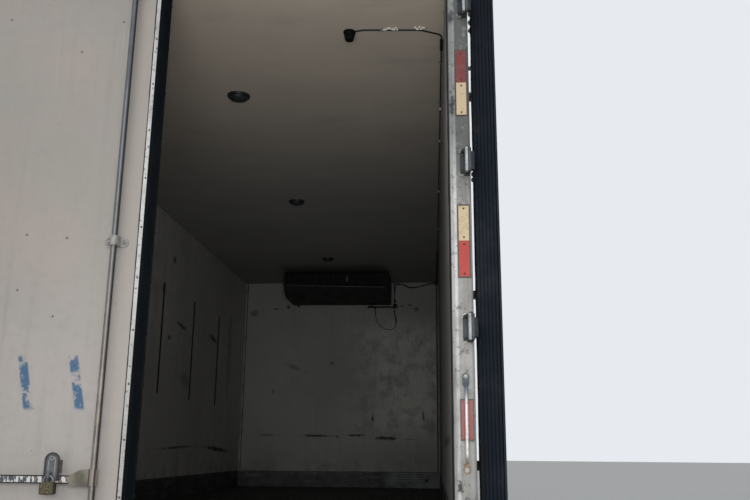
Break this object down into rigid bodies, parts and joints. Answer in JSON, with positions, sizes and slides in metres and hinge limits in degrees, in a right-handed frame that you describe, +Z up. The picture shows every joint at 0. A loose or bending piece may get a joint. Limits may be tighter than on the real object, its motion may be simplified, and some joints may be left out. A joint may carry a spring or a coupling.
{
  "type": "insulated box body of a refrigerated truck",
  "caption": "Insulated truck box body with two hinged rear doors, rod locks, a ceiling evaporator and a front condensing unit with turning fans.",
  "frame": {"origin": "middle of the chassis bolt pattern, level with the underside of the two long sills", "axes": "+X right seen from behind, +Y forward towards the cab, +Z up"},
  "size_m": [2.7917, 7.523, 2.842],
  "materials": {
    "panel_skin": "smooth off-white glass-fibre skin over foam",
    "floor_core": "grey underside of the insulated floor",
    "floor_tread": "dark worn tread plate",
    "rear_steel": "weathered stainless sheet",
    "edge_alloy": "extruded edge rail",
    "kick_alloy": "scuffed plate",
    "dark_trim": "dark extruded trim",
    "chassis_paint": "black sub-frame paint",
    "reflector": "red and white reflective plate",
    "galvanised": "zinc-plated steel with rust at the edges",
    "buffer_rubber": "moulded rubber",
    "lamp_lens": "small marker lamp lens",
    "lamp_body": "dark round ceiling lamp",
    "camera_black": "black plastic",
    "cable_sheath": "black cable sheath",
    "evap_cover": "grimy dark cover",
    "unit_shell": "white moulded shell",
    "unit_black": "black moulded plastic",
    "motor_paint": "black motor paint",
    "coil_alloy": "finned coil",
    "door_skin": "off-white door skin",
    "door_trim": "riveted edge trim",
    "gasket_rubber": "finned black rubber",
    "lock_steel": "zinc-plated steel",
    "padlock_brass": "worn brass body, bright shackle"
  },
  "bodies": {
    "box": {"side_wall_left": "panel_skin", "side_wall_right": "panel_skin", "roof_panel": "panel_skin", "front_wall": "panel_skin", "floor_panel": "floor_core", "floor_plate": "floor_tread", "rear_post_left": "rear_steel", "rear_post_right": "rear_steel", "rear_header": "rear_steel", "rear_threshold": "rear_steel", "edge_profiles": "edge_alloy", "kick_plates": "kick_alloy", "corner_angles": "dark_trim", "wall_strips": "dark_trim", "sill_left": "chassis_paint", "sill_right": "chassis_paint", "cross_members": "chassis_paint", "chassis_feet": "chassis_paint", "reflective_plates": "reflector", "grab_handle_left": "galvanised", "grab_handle_right": "galvanised", "post_hinges_left": "galvanised", "post_hinges_right": "galvanised", "lock_keepers": "galvanised", "cable_clips": "galvanised", "rubber_buffers": "buffer_rubber", "marker_lamps": "lamp_lens", "ceiling_lamps": "lamp_body", "ceiling_camera": "camera_black", "junction_box": "camera_black", "ceiling_cable": "cable_sheath", "lead_conduit": "cable_sheath", "loop_lead": "cable_sheath", "slack_lead": "cable_sheath", "evaporator_housing": "evap_cover", "evaporator_vanes": "evap_cover", "condenser_shell": "unit_shell", "unit_louvres": "unit_shell", "fan_guards": "unit_black", "fan_shrouds": "unit_black", "fan_motors": "motor_paint", "condenser_coil": "coil_alloy"},
    "left_door": {"door_left_panel": "door_skin", "door_left_trim": "door_trim", "door_left_gasket": "gasket_rubber", "door_left_straps": "lock_steel", "door_left_lock_bar": "lock_steel", "door_left_brackets": "lock_steel", "padlock": "padlock_brass"},
    "right_door": {"door_right_panel": "door_skin", "door_right_trim": "door_trim", "door_right_gasket": "gasket_rubber", "door_right_straps": "lock_steel", "door_right_lock_bar": "lock_steel", "door_right_brackets": "lock_steel"},
    "left_fan": {"fan_left": "unit_black"},
    "right_fan": {"fan_right": "unit_black"}
  },
  "joints": [
    {"name": "left_door_hinge", "type": "hinge", "parent": "box", "child": "left_door", "pos_m": [-1.29, -3.54, 1.5], "axis": [0, 0, 1], "range_deg": [-266, 0]},
    {"name": "right_door_hinge", "type": "hinge", "parent": "box", "child": "right_door", "pos_m": [1.29, -3.54, 1.5], "axis": [0, 0, 1], "range_deg": [-267.2, 0]},
    {"name": "left_fan_spin", "type": "hinge", "parent": "box", "child": "left_fan", "pos_m": [-0.4, 3.865, 2.469], "axis": [0, 1, 0], "continuous": true},
    {"name": "right_fan_spin", "type": "hinge", "parent": "box", "child": "right_fan", "pos_m": [0.4, 3.865, 2.469], "axis": [0, 1, 0], "continuous": true}
  ]
}
